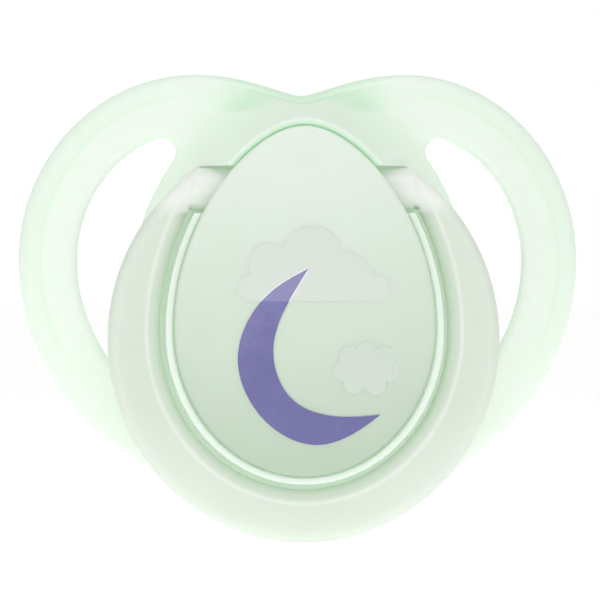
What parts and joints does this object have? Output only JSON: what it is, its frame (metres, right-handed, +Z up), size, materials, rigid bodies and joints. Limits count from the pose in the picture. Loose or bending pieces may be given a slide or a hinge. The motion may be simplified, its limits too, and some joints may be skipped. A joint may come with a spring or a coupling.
{
  "type": "pacifier",
  "caption": "Baby's soother: curved heart-shaped shield with crescent openings, egg-shaped moon button, hinged ring handle and silicone teat.",
  "frame": {"origin": "on the teat's axis, in the plane of the flat pad where the teat leaves the shield's mouth side", "axes": "+X across the shield towards the right as seen from the front, +Y along the teat towards the mouth, +Z up towards the dip between the lobes"},
  "size_m": [0.058, 0.0399, 0.0482],
  "materials": {
    "shield_plastic": "glossy translucent mint polypropylene",
    "ring_plastic": "glossy milky glow-in-the-dark plastic",
    "cap_plastic": "glossy pale green plastic",
    "teat_silicone": "satin clear silicone",
    "plug_plastic": "natural polypropylene",
    "moon_ink": "satin lilac printing ink",
    "cloud_ink": "satin translucent white printing ink"
  },
  "bodies": {
    "soother_body": {"shield": "shield_plastic", "button_cap": "cap_plastic", "teat": "teat_silicone", "teat_plug": "plug_plastic", "moon_print": "moon_ink", "large_cloud_print": "cloud_ink", "small_cloud_print": "cloud_ink"},
    "ring": {"ring_handle": "ring_plastic"}
  },
  "joints": [
    {"name": "ring_hinge", "type": "hinge", "parent": "soother_body", "child": "ring", "pos_m": [0, -0.005, 0.0115], "axis": [-1, 0, 0], "range_deg": [-3, 170]}
  ]
}
